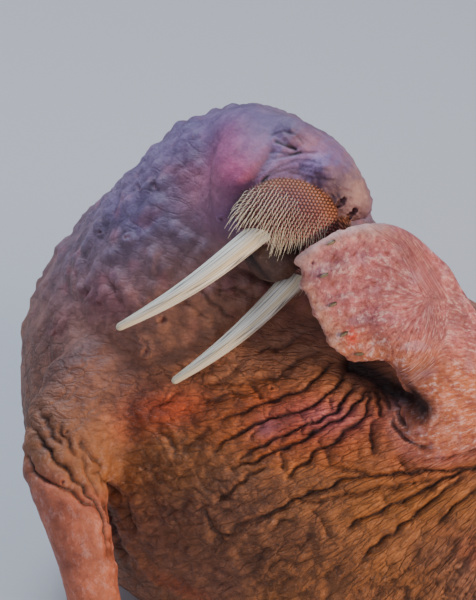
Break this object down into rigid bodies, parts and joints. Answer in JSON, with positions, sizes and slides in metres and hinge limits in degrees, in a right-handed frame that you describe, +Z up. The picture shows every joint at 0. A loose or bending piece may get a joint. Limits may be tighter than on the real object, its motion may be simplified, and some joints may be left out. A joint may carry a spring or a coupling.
{
  "type": "walrus",
  "caption": "Life-size still model of a reclining bull walrus, fore body raised on one flipper, the other flipper folded across its muzzle, with long tusks and a bristled muzzle.",
  "frame": {"origin": "centre of the footprint on the floor", "axes": "+X from head to hind flippers, +Y towards the animal's back, +Z up"},
  "size_m": [2.8864, 1.4034, 1.2686],
  "materials": {
    "skin_upper": "lumpy matt hide, violet grey",
    "skin_lower": "deeply creased matt hide, red brown",
    "skin_flipper": "bare grained hide, pink brown",
    "skin_pad": "dark hide pitted by bristle roots",
    "horn": "horny bristles and nails, cream to olive",
    "tusk": "satin ivory with fine lengthwise cracks",
    "eye": "wet dark"
  },
  "bodies": {
    "root": {"head": "skin_upper", "neck": "skin_upper", "chest": "skin_lower", "belly": "skin_lower", "hips": "skin_lower", "tail": "skin_lower", "arm_left": "skin_flipper", "hand_left": "skin_flipper", "arm_right": "skin_lower", "hand_right": "skin_flipper", "hind_flipper_left": "skin_flipper", "hind_flipper_right": "skin_flipper", "whisker_pad_left": "skin_pad", "whisker_pad_right": "skin_pad", "tusk_left": "tusk", "tusk_right": "tusk", "eye_left": "eye", "eye_right": "eye"}
  },
  "joints": []
}
